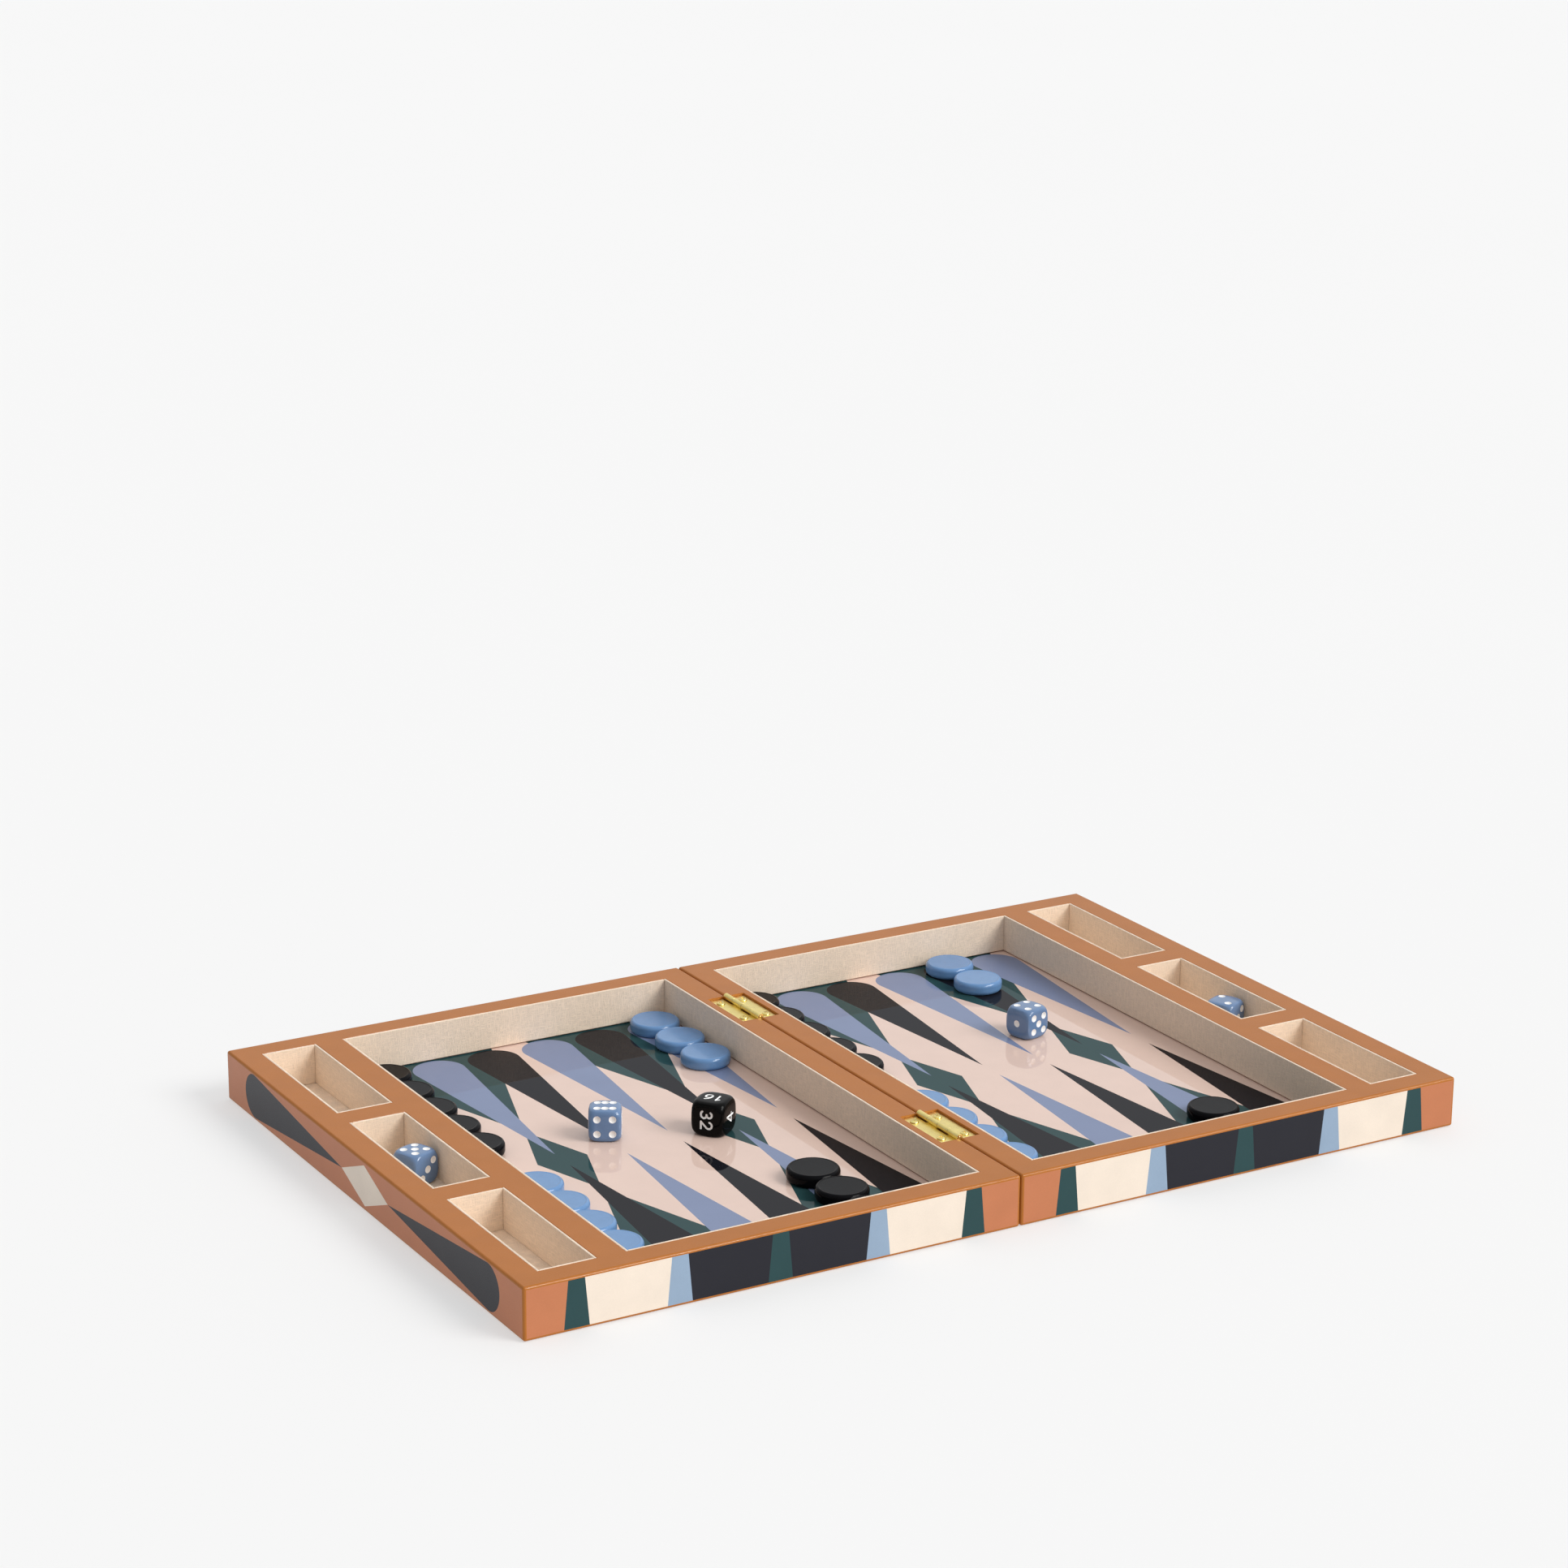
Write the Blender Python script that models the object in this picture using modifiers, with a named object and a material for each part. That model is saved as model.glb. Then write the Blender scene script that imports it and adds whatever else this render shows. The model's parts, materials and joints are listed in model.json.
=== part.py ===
"""A folding backgammon case, open flat, with its hinges, linings, checkers, dice and doubling cube.

Metres, +Z up. The case opens along X: the hinge line is X = 0 and runs along Y, and the case stands on Z = 0.
The left half is the fixed body. The right half folds over it about the hinge pins.
"""

import math

import bmesh
import bpy
from mathutils import Matrix, Vector

# Case
HALF_WIDTH = 0.240  # one half, square to the hinge
CASE_LENGTH = 0.308  # along the hinge
RIM_HEIGHT = 0.0240  # one half, from the table to its rim
EDGE_RADIUS = 0.0012  # lacquered outer edges
SEAM = 0.00025  # from the hinge line to each half
GAP = 0.0003  # between pieces that touch

# Wells, as distances from the hinge line and from the middle of the case
WELL_NEAR = 0.0134
WELL_FAR = 0.1867
WELL_HALF_LENGTH = 0.1418
TRAY_NEAR = 0.2001
TRAY_FAR = 0.2275
TRAY_MIDDLE_HALF = 0.0432
TRAY_OUTER_START = 0.0564

# Layers, from the table up
PANEL_TOP = 0.0030
PANEL_MARGIN = 0.006  # the frame's width around the panel let into its underside
FIELD_BOTTOM = PANEL_TOP + GAP
FIELD_TOP = 0.0049
LINING_THICKNESS = 0.0009
LINING_TOP = RIM_HEIGHT - 0.0001

# Butt hinges
HINGE_Y = 0.088
HINGE_LENGTH = 0.034
LEAF_REACH = 0.0096  # from the pin's axis to the leaf's outer edge
LEAF_THICKNESS = 0.0009
AXIS_Z = RIM_HEIGHT + GAP / 2  # so that the closed rims stay GAP apart
LEAF_BOTTOM = AXIS_Z - 0.0022
LEAF_TOP = LEAF_BOTTOM + LEAF_THICKNESS
BARREL_RADIUS = 0.0015
PIN_RADIUS = 0.00062
BORE_RADIUS = 0.00070
KNUCKLES = 4
KNUCKLE_GAP = 0.0002
SCREW_X = 0.0061
SCREW_SPACING = 0.0224
SCREW_HEAD_RADIUS = 0.0021
SCREW_HEAD_HEIGHT = 0.0009
SHANK_RADIUS = 0.0010
SHANK_LENGTH = 0.0080
SHANK_HOLE_RADIUS = 0.0013

# Loose pieces
CHECKER_RADIUS = 0.01215
CHECKER_HEIGHT = 0.0058
CHECKER_FLAT = 0.0099  # radius of its flat faces
CHECKER_CHAMFER = 0.0016
DIE_SIDE = 0.0152
CUBE_SIDE = 0.0164
CORNER_SHARE = 0.17  # rounding of a die's edges, as a share of its side
REST_Z = FIELD_TOP + GAP

COLUMN_PITCH = (WELL_FAR - WELL_NEAR) / 6
CHECKER_PITCH = 2 * CHECKER_RADIUS + GAP

# Colours, linear RGB
LACQUER = (0.42, 0.17, 0.06)
PANEL = (0.50, 0.20, 0.10)
PINK = (0.78, 0.62, 0.56)
CREAM = (0.80, 0.68, 0.52)
BRASS = (0.75, 0.52, 0.14)
BLUE = (0.16, 0.32, 0.60)
BLACK = (0.012, 0.012, 0.014)

LEFT, RIGHT = -1, 1


def clear_scene():
    for obj in list(bpy.data.objects):
        bpy.data.objects.remove(obj, do_unlink=True)


def new_collection(name):
    collection = bpy.data.collections.new(name)
    bpy.context.scene.collection.children.link(collection)
    return collection


def material(name, colour, roughness, metallic=0.0):
    mat = bpy.data.materials.new(name)
    mat.use_nodes = True
    shader = mat.node_tree.nodes["Principled BSDF"]
    shader.inputs["Base Color"].default_value = (*colour, 1.0)
    shader.inputs["Roughness"].default_value = roughness
    shader.inputs["Metallic"].default_value = metallic
    mat.diffuse_color = (*colour, 1.0)
    return mat


def make_object(name, mesh, collection, mat=None, parent=None, location=(0, 0, 0), turn=0.0):
    """A new object; location is in the world, also under a parent empty, which never turns."""
    obj = bpy.data.objects.new(name, mesh)
    collection.objects.link(obj)
    if mat is not None and not mesh.materials:
        mesh.materials.append(mat)
    origin = Vector((0, 0, 0)) if parent is None else parent.location
    obj.parent = parent
    obj.location = Vector(location) - origin
    obj.rotation_euler = (0, 0, turn)
    return obj


def mesh_from(bm, name, smooth=False):
    mesh = bpy.data.meshes.new(name)
    bm.to_mesh(mesh)
    bm.free()
    if smooth:
        mesh.shade_smooth()
        mesh.set_sharp_from_angle(angle=math.radians(35))
    return mesh


def box_mesh(name, low, high):
    """A box between two corners, its origin at the world's."""
    low, high = Vector(low), Vector(high)
    bm = bmesh.new()
    bmesh.ops.create_cube(bm, size=1.0)
    size = high - low
    place = Matrix.Translation((low + high) / 2) @ Matrix.Diagonal((*size, 1.0))
    bmesh.ops.transform(bm, matrix=place, verts=bm.verts)
    return mesh_from(bm, name)


def side_box(name, side, near, far, y_low, y_high, z_low, z_high):
    """A box on one side of the hinge line, from the distance near to the distance far."""
    xs = sorted((side * near, side * far))
    return box_mesh(name, (xs[0], y_low, z_low), (xs[1], y_high, z_high))


def cylinder_mesh(name, radius, start, end, segments):
    """A cylinder between two points, its origin at the world's."""
    start, end = Vector(start), Vector(end)
    along = end - start
    bm = bmesh.new()
    bmesh.ops.create_cone(
        bm, cap_ends=True, segments=segments, radius1=radius, radius2=radius, depth=along.length
    )
    turn = Vector((0, 0, 1)).rotation_difference(along).to_matrix().to_4x4()
    place = Matrix.Translation((start + end) / 2) @ turn
    bmesh.ops.transform(bm, matrix=place, verts=bm.verts)
    return mesh_from(bm, name, smooth=True)


def turned_mesh(name, profile, segments):
    """A solid turned about Z from (radius, height) points that run down its outer side, axis to axis."""
    bm = bmesh.new()
    points = [bm.verts.new((radius, 0, height)) for radius, height in profile]
    edges = [bm.edges.new(pair) for pair in zip(points, points[1:])]
    bmesh.ops.spin(
        bm,
        geom=points + edges,
        cent=(0, 0, 0),
        axis=(0, 0, 1),
        angle=2 * math.pi,
        steps=segments,
        use_merge=True,
    )
    bmesh.ops.remove_doubles(bm, verts=bm.verts, dist=1e-6)
    bmesh.ops.recalc_face_normals(bm, faces=bm.faces)
    return mesh_from(bm, name, smooth=True)


def boolean(obj, operation, meshes, cutters):
    """Cuts the meshes from the object, or joins them to it, with one EXACT Boolean each."""
    for mesh in meshes:
        tool = make_object(mesh.name, mesh, cutters)
        tool.hide_render = True
        tool.display_type = "WIRE"
        modifier = obj.modifiers.new(operation.title() + "_" + mesh.name, "BOOLEAN")
        modifier.operation = operation
        modifier.solver = "EXACT"
        modifier.object = tool


def hinge_spans(centre):
    """The stretch of Y that each knuckle takes."""
    pitch = HINGE_LENGTH / KNUCKLES
    start = centre - HINGE_LENGTH / 2
    return [
        (start + i * pitch + KNUCKLE_GAP / 2, start + (i + 1) * pitch - KNUCKLE_GAP / 2)
        for i in range(KNUCKLES)
    ]


def screw_places(side, centre):
    return [(side * SCREW_X, centre + end * SCREW_SPACING / 2) for end in (-1, 1)]


def hinge_cutters(side, centre, tag):
    """The recess and the two pilot holes that one leaf needs in its rim."""
    half = HINGE_LENGTH / 2 + GAP
    top = RIM_HEIGHT + 0.002
    cuts = [
        side_box(
            "recess" + tag, side, -0.002, LEAF_REACH + GAP, centre - half, centre + half,
            LEAF_BOTTOM - GAP, top,
        )
    ]
    bottom = LEAF_TOP - SHANK_LENGTH - GAP
    for n, (x, y) in enumerate(screw_places(side, centre)):
        cuts.append(
            cylinder_mesh(f"pilot{tag}_{n}", SHANK_HOLE_RADIUS, (x, y, bottom), (x, y, top), 12)
        )
    return cuts


def frame(side, label, parts, cutters, mat, parent):
    """Rails, tray dividers and the wall between well and trays, in one lacquered piece."""
    name = label + "_frame"
    half_length = CASE_LENGTH / 2
    body = make_object(
        name,
        side_box(name, side, SEAM, HALF_WIDTH, -half_length, half_length, 0, RIM_HEIGHT),
        parts, mat, parent,
    )
    bevel = body.modifiers.new("rounded_edges", "BEVEL")
    bevel.width = EDGE_RADIUS
    bevel.segments = 3
    bevel.limit_method = "ANGLE"
    low, high = -0.001, RIM_HEIGHT + 0.001
    margin = PANEL_MARGIN - GAP
    middle, outer, end = TRAY_MIDDLE_HALF, TRAY_OUTER_START, WELL_HALF_LENGTH
    cuts = [
        side_box(
            name + "_cut_panel", side, SEAM + margin, HALF_WIDTH - margin,
            margin - half_length, half_length - margin, low, PANEL_TOP + GAP,
        ),
        side_box(name + "_cut_well", side, WELL_NEAR, WELL_FAR, -end, end, low, high),
        side_box(
            name + "_cut_under_trays", side, TRAY_NEAR, TRAY_FAR, -end, end, low, FIELD_TOP + GAP
        ),
        side_box(name + "_cut_tray_1", side, TRAY_NEAR, TRAY_FAR, -end, -outer, low, high),
        side_box(name + "_cut_tray_2", side, TRAY_NEAR, TRAY_FAR, -middle, middle, low, high),
        side_box(name + "_cut_tray_3", side, TRAY_NEAR, TRAY_FAR, outer, end, low, high),
    ]
    for n, centre in enumerate((-HINGE_Y, HINGE_Y)):
        cuts += hinge_cutters(side, centre, f"_{label}_{n}")
    boolean(body, "DIFFERENCE", cuts, cutters)
    return body


def bottom_panel(side, label, parts, mat, parent):
    name = label + "_bottom_panel"
    half_length = CASE_LENGTH / 2 - PANEL_MARGIN
    mesh = side_box(
        name, side, SEAM + PANEL_MARGIN, HALF_WIDTH - PANEL_MARGIN, -half_length, half_length,
        0, PANEL_TOP,
    )
    return make_object(name, mesh, parts, mat, parent)


def field_board(side, label, parts, mat, parent):
    """The printed board that the game is played on."""
    name = label + "_playing_field"
    end = WELL_HALF_LENGTH - GAP
    mesh = side_box(
        name, side, WELL_NEAR + GAP, WELL_FAR - GAP, -end, end, FIELD_BOTTOM, FIELD_TOP
    )
    return make_object(name, mesh, parts, mat, parent)


def well_lining(side, label, parts, cutters, mat, parent):
    """Fabric-covered strips around the four walls of the playing well, standing on the board."""
    name = label + "_well_lining"
    end = WELL_HALF_LENGTH - GAP
    inner = GAP + LINING_THICKNESS
    mesh = side_box(
        name, side, WELL_NEAR + GAP, WELL_FAR - GAP, -end, end, FIELD_TOP + GAP, LINING_TOP
    )
    ring = make_object(name, mesh, parts, mat, parent)
    hole = side_box(
        name + "_cut", side, WELL_NEAR + inner, WELL_FAR - inner,
        inner - WELL_HALF_LENGTH, WELL_HALF_LENGTH - inner, 0, RIM_HEIGHT + 0.001,
    )
    boolean(ring, "DIFFERENCE", [hole], cutters)
    return ring


def tray_lining(side, label, parts, cutters, mat, parent):
    """Three fabric-covered trays on one floor, which runs on under the dividers."""
    name = label + "_tray_lining"
    end = WELL_HALF_LENGTH - GAP
    floor = side_box(
        name, side, TRAY_NEAR + GAP, TRAY_FAR - GAP, -end, end, PANEL_TOP + GAP, LINING_TOP
    )
    body = make_object(name, floor, parts, mat, parent)
    inner = GAP + LINING_THICKNESS
    low, high = FIELD_TOP, RIM_HEIGHT + 0.001
    middle, outer = TRAY_MIDDLE_HALF - inner, TRAY_OUTER_START + inner
    cuts = []
    for n, (y_low, y_high) in enumerate(
        ((inner - WELL_HALF_LENGTH, -outer), (-middle, middle), (outer, WELL_HALF_LENGTH - inner))
    ):
        cuts.append(
            side_box(
                f"{name}_cut_tray_{n}", side, TRAY_NEAR + inner, TRAY_FAR - inner,
                y_low, y_high, low, high,
            )
        )
    for sign in (-1, 1):
        y_low, y_high = sorted((sign * (TRAY_MIDDLE_HALF - GAP), sign * (TRAY_OUTER_START + GAP)))
        cuts.append(
            side_box(
                f"{name}_cut_divider_{sign}", side, TRAY_NEAR - GAP, TRAY_FAR + GAP,
                y_low, y_high, low, high,
            )
        )
    boolean(body, "DIFFERENCE", cuts, cutters)
    return body


def hinge_leaf(name, side, centre, parts, cutters, mat, parent):
    """A leaf let into the rim, with every other knuckle of the barrel, bored for pin and screws."""
    bottom, top = LEAF_BOTTOM, LEAF_TOP
    clear = BARREL_RADIUS + GAP
    half = HINGE_LENGTH / 2
    plate = side_box(name, side, clear, LEAF_REACH, centre - half, centre + half, bottom, top)
    leaf = make_object(name, plate, parts, mat, parent)
    spans = hinge_spans(centre)[0 if side == LEFT else 1 :: 2]
    joined = []
    for n, (start, stop) in enumerate(spans):
        joined.append(
            cylinder_mesh(
                f"{name}_knuckle_{n}", BARREL_RADIUS, (0, start, AXIS_Z), (0, stop, AXIS_Z), 24
            )
        )
        joined.append(
            side_box(f"{name}_tongue_{n}", side, 0, clear + 0.0005, start, stop, bottom, top)
        )
    boolean(leaf, "UNION", joined, cutters)
    cuts = [
        cylinder_mesh(
            name + "_bore", BORE_RADIUS,
            (0, centre - half - 0.001, AXIS_Z), (0, centre + half + 0.001, AXIS_Z), 24,
        )
    ]
    for n, (x, y) in enumerate(screw_places(side, centre)):
        cuts.append(
            cylinder_mesh(
                f"{name}_hole_{n}", SHANK_HOLE_RADIUS, (x, y, bottom - 0.001), (x, y, top + 0.001),
                12,
            )
        )
    boolean(leaf, "DIFFERENCE", cuts, cutters)
    return leaf


def hinge_pin(name, centre, parts, mat, parent):
    half = HINGE_LENGTH / 2 - 0.0001
    mesh = cylinder_mesh(name, PIN_RADIUS, (0, centre - half, AXIS_Z), (0, centre + half, AXIS_Z), 24)
    return make_object(name, mesh, parts, mat, parent)


def screw_mesh():
    """A round-head wood screw, its origin where the head meets the leaf."""
    head_points = 3
    profile = [(0, SCREW_HEAD_HEIGHT)]
    for i in range(1, head_points + 1):
        angle = math.pi / 2 * i / head_points
        profile.append(
            (SCREW_HEAD_RADIUS * math.sin(angle), SCREW_HEAD_HEIGHT * math.cos(angle))
        )
    profile += [
        (SHANK_RADIUS, 0),
        (SHANK_RADIUS, -SHANK_LENGTH + 2 * SHANK_RADIUS),
        (0, -SHANK_LENGTH),
    ]
    return turned_mesh("screw", profile, 12)


def hinges(parts, cutters, brass, left, right):
    screw = screw_mesh()
    for where, centre in (("front", -HINGE_Y), ("back", HINGE_Y)):
        hinge_leaf(f"{where}_hinge_left_leaf", LEFT, centre, parts, cutters, brass, left)
        hinge_leaf(f"{where}_hinge_right_leaf", RIGHT, centre, parts, cutters, brass, right)
        hinge_pin(f"{where}_hinge_pin", centre, parts, brass, left)
        for side, label, parent in ((LEFT, "left", left), (RIGHT, "right", right)):
            for n, (x, y) in enumerate(screw_places(side, centre)):
                name = f"{where}_hinge_{label}_screw_{n + 1}"
                seat = LEAF_TOP + GAP / 3
                make_object(name, screw, parts, brass, parent, (x, y, seat))


def checker_mesh():
    top, flat, rim = CHECKER_HEIGHT, CHECKER_FLAT, CHECKER_RADIUS
    profile = [
        (0, top),
        (flat, top),
        (rim, top - CHECKER_CHAMFER),
        (rim, CHECKER_CHAMFER),
        (flat, 0),
        (0, 0),
    ]
    return turned_mesh("checker", profile, 20)


def column_x(side, column):
    """The middle of a point's column, counted from the left in each half."""
    start = -WELL_FAR if side == LEFT else WELL_NEAR
    return start + (column + 0.5) * COLUMN_PITCH


def checkers(parts, black, blue, left, right):
    """Stacks in a row along their points: (colour, side, column, sideways shift, first Y, step, count)."""
    step = CHECKER_PITCH
    stacks = (
        ("black", LEFT, 0, -0.0009, 0.1229, -step, 5),
        ("blue", LEFT, 0, 0.0012, -0.0292, -step, 5),
        ("blue", LEFT, 5, -0.0006, 0.1250, -0.0252, 3),
        ("black", LEFT, 4, -0.0004, -0.0745, -step, 3),
        ("black", RIGHT, 0, 0.0004, 0.1255, -step, 5),
        ("blue", RIGHT, 0, 0.0014, -0.0284, -step, 5),
        ("blue", RIGHT, 4, -0.0008, 0.1255, -0.0264, 2),
        ("black", RIGHT, 4, -0.0016, -0.1010, -step, 2),
    )
    looks = {"black": black, "blue": blue}
    meshes = {}
    for colour, mat in looks.items():
        meshes[colour] = checker_mesh()
        meshes[colour].name = colour + "_checker"
        meshes[colour].materials.append(mat)
    count = {"black": 0, "blue": 0}
    for colour, side, column, shift, first, pitch, number in stacks:
        parent = left if side == LEFT else right
        for n in range(number):
            count[colour] += 1
            place = (column_x(side, column) + shift, first + n * pitch, REST_Z)
            name = f"{colour}_checker_{count[colour]:02d}"
            make_object(name, meshes[colour], parts, looks[colour], parent, place)


def rounded_cube(name, side, parts, mat, parent, x, y, degrees):
    mesh = box_mesh(name, (-side / 2, -side / 2, 0), (side / 2, side / 2, side))
    cube = make_object(name, mesh, parts, mat, parent, (x, y, REST_Z), math.radians(degrees))
    bevel = cube.modifiers.new("rounded_edges", "BEVEL")
    bevel.width = CORNER_SHARE * side
    bevel.segments = 2
    bevel.limit_method = "ANGLE"
    return cube


def dice(parts, black, blue, left, right):
    """(name, side, colour, half, X, Y, turn in degrees)."""
    rows = (
        ("die_1", DIE_SIDE, blue, left, -0.2112, 0.0094, -68.7),
        ("die_2", DIE_SIDE, blue, left, -0.1139, 0.0148, -29.6),
        ("die_3", DIE_SIDE, blue, right, 0.1271, 0.0315, -75.0),
        ("die_4", DIE_SIDE, blue, right, 0.2162, -0.0089, -64.4),
        ("doubling_cube", CUBE_SIDE, black, left, -0.0678, -0.0035, -53.1),
    )
    for name, side, mat, parent, x, y, degrees in rows:
        rounded_cube(name, side, parts, mat, parent, x, y, degrees)


def half_pivot(name, parts):
    """An empty on the hinge axis, the parent of one half's pieces."""
    empty = bpy.data.objects.new(name, None)
    parts.objects.link(empty)
    empty.location = (0, 0, AXIS_Z)
    return empty


def main():
    clear_scene()
    parts = new_collection("backgammon_case")
    cutters = new_collection("cutters")
    lacquer = material("lacquered_wood", LACQUER, 0.12)
    panel = material("lacquered_panel", PANEL, 0.15)
    print_board = material("printed_board", PINK, 0.06)
    felt = material("cream_lining", CREAM, 0.9)
    brass = material("polished_brass", BRASS, 0.15, 1.0)
    blue = material("blue_plastic", BLUE, 0.15)
    black = material("black_plastic", BLACK, 0.15)
    left = half_pivot("left_half_pivot", parts)
    right = half_pivot("right_half_pivot", parts)
    for side, label, parent in ((LEFT, "left", left), (RIGHT, "right", right)):
        frame(side, label, parts, cutters, lacquer, parent)
        bottom_panel(side, label, parts, panel, parent)
        field_board(side, label, parts, print_board, parent)
        well_lining(side, label, parts, cutters, felt, parent)
        tray_lining(side, label, parts, cutters, felt, parent)
    hinges(parts, cutters, brass, left, right)
    checkers(parts, black, blue, left, right)
    dice(parts, black, blue, left, right)


main()
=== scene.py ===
import json
import math

import bmesh
import bpy
from mathutils import Matrix, Vector
from mathutils.geometry import delaunay_2d_cdt

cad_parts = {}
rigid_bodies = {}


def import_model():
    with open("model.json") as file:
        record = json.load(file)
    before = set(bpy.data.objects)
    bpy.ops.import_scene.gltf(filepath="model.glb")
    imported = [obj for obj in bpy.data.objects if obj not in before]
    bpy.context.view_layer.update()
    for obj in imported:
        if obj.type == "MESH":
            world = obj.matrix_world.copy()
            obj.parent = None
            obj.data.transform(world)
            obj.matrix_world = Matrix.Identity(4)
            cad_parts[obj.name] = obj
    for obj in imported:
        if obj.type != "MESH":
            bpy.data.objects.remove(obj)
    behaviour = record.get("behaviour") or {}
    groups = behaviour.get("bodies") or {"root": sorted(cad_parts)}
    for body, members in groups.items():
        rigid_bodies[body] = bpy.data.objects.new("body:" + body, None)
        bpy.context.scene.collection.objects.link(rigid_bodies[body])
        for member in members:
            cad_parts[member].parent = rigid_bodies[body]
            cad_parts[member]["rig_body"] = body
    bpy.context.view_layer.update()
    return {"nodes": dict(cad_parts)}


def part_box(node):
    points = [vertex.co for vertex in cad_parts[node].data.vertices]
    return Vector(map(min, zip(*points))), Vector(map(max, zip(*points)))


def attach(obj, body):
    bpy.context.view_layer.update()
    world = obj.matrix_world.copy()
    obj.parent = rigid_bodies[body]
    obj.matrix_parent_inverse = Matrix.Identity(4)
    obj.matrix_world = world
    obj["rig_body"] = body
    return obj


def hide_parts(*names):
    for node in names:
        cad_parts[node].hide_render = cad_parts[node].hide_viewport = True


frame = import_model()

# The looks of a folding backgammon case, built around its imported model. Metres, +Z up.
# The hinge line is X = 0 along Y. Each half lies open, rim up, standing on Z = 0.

nodes = frame["nodes"]

# Sizes read from the frame
frame_low, frame_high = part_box("right_frame")
HALF_WIDTH = frame_high.x
HALF_LENGTH = frame_high.y
RIM = frame_high.z
SEAM = frame_low.x
field_low, field_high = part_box("right_playing_field")
GAP = 0.0003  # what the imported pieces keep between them
WELL_NEAR = field_low.x - GAP
WELL_FAR = field_high.x + GAP
WELL_END = field_high.y + GAP
FIELD_TOP = field_high.z
FIELD_BOTTOM = field_low.z
tray_low, tray_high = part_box("right_tray_lining")
TRAY_NEAR = tray_low.x - GAP
TRAY_FAR = tray_high.x + GAP
panel_low, panel_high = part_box("right_bottom_panel")
PANEL_TOP = panel_high.z
PANEL_MARGIN = panel_low.x - SEAM

# Sizes that the frame's boxes don't give
TRAY_MIDDLE_HALF = 0.0432
TRAY_OUTER_START = 0.0564
EDGE_RADIUS = 0.0012
INNER_EDGE = 0.00025  # rounding of the lacquered edges around the openings
FIT = 0.00003  # left between finished pieces that touch
PANEL_PLAY = 0.00005  # left around the bottom panels
OVERRUN = 0.001  # how far a cutter runs past the piece it cuts
LINING_THICKNESS = 0.00115
LINING_ROUNDING = 0.00032
TRAY_FLOOR_ROUNDING = 0.0003
LINING_TOP = RIM - 0.00005
LINING_FOOT = FIELD_TOP + 0.0005  # leaves a thin dark joint above the board
PRINT_MARGIN = 0.0001  # from a printed face's edge to its print

# Hinges
pin_low, pin_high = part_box("front_hinge_pin")
AXIS_Z = (pin_low.z + pin_high.z) / 2
PIN_RADIUS = (pin_high.z - pin_low.z) / 2
BARREL_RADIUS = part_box("front_hinge_left_leaf")[1].z - AXIS_Z
LEAF_THICKNESS = 0.0009
KNUCKLES = 4
KNUCKLE_GAP = 0.0002
KNUCKLE_TAIL = 0.0005  # how far a knuckle runs into its plate
PIN_INSET = 0.0001  # from the barrel's ends to the pin's
SCREW_HOLE_RADIUS = 0.0013

COLUMNS = 6
COLUMN_PITCH = (WELL_FAR - WELL_NEAR) / COLUMNS
UNIT = HALF_WIDTH  # the printed patterns are given as shares of one half's width

LEFT, RIGHT = -1, 1
SIDES = (("left", LEFT), ("right", RIGHT))


# Materials


class Look:
    """A material whose colour, roughness and relief come from patterns in the piece's own metres."""

    def __init__(self, name):
        self.material = bpy.data.materials.new(name)
        self.material.use_nodes = True
        self.tree = self.material.node_tree
        self.shader = self.tree.nodes["Principled BSDF"]
        self.place = self.node("ShaderNodeTexCoord").outputs["Object"]

    def node(self, kind, inputs=None, **settings):
        made = self.tree.nodes.new(kind)
        for key, value in settings.items():
            setattr(made, key, value)
        for key, value in (inputs or {}).items():
            self.feed(made.inputs[key], value)
        return made

    def feed(self, socket, value):
        if isinstance(value, bpy.types.NodeSocket):
            self.tree.links.new(value, socket)
        else:
            socket.default_value = value

    def noise(self, size, detail=2.0, roughness=0.5):
        """Noise from 0 to 1 whose features measure about size, a number or one for each axis."""
        sizes = size if isinstance(size, tuple) else (size, size, size)
        scaled = self.node(
            "ShaderNodeVectorMath",
            {0: self.place, 1: tuple(1 / s for s in sizes)},
            operation="MULTIPLY",
        )
        made = self.node(
            "ShaderNodeTexNoise",
            {"Vector": scaled.outputs[0], "Scale": 1.0, "Detail": detail, "Roughness": roughness},
        )
        return made.outputs["Fac"]

    def spread(self, value, low, high, start=0.3, stop=0.7):
        """The value's usual range, start to stop, mapped to low to high."""
        made = self.node(
            "ShaderNodeMapRange",
            {"Value": value, "From Min": start, "From Max": stop, "To Min": low, "To Max": high},
        )
        return made.outputs["Result"]

    def math(self, operation, a, b):
        return self.node("ShaderNodeMath", {0: a, 1: b}, operation=operation).outputs[0]

    def mix(self, factor, a, b):
        """Colour a where factor is 0, b where it is 1."""
        made = self.node("ShaderNodeMix", {0: factor}, data_type="RGBA")
        for socket, value in ((made.inputs[6], a), (made.inputs[7], b)):
            self.feed(socket, value if isinstance(value, bpy.types.NodeSocket) else (*value, 1.0))
        return made.outputs[2]

    def relief(self, height, depth, below=None):
        """Bumps of the given depth in metres, on top of the relief below."""
        inputs = {"Height": height, "Distance": depth, "Strength": 1.0}
        if below is not None:
            inputs["Normal"] = below
        return self.node("ShaderNodeBump", inputs).outputs["Normal"]

    def finish(self, **inputs):
        for key, value in inputs.items():
            socket = self.shader.inputs[key.replace("_", " ")]
            if isinstance(value, tuple) and len(value) == 3:
                value = (*value, 1.0)
            self.feed(socket, value)
        return self.material


def times(colour, factor):
    return tuple(min(1.0, c * factor) for c in colour)


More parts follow.
